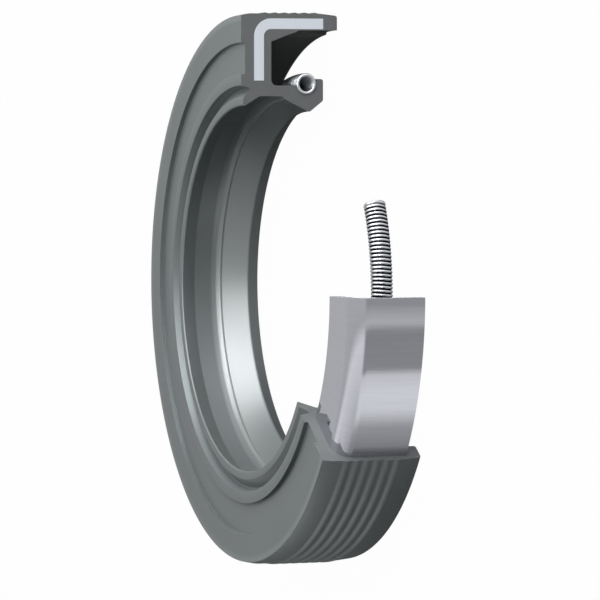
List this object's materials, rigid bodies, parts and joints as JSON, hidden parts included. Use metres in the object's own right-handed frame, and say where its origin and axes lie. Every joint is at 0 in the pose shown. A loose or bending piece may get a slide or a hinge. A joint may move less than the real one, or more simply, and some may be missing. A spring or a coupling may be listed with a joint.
{
  "type": "radial shaft seal, cut away",
  "caption": "Radial shaft seal with a rubber-covered steel case, main lip, dust lip and garter spring, cut away to show its section.",
  "frame": {"origin": "on the ring's axis, in the plane of the rear end (the oil side), which the seal lies on", "axes": "+Z along the ring's axis towards the front face (the air side); the cut through all three pieces starts at +Y and the case's second cut lies on +X"},
  "size_m": [0.0517, 0.0522, 0.0097],
  "materials": {
    "rubber": "satin moulded",
    "case_steel": "smooth satin",
    "spring_wire": "bright drawn"
  },
  "bodies": {
    "root": {"seal_body": "rubber", "steel_case": "case_steel", "garter_spring": "spring_wire"}
  },
  "joints": []
}
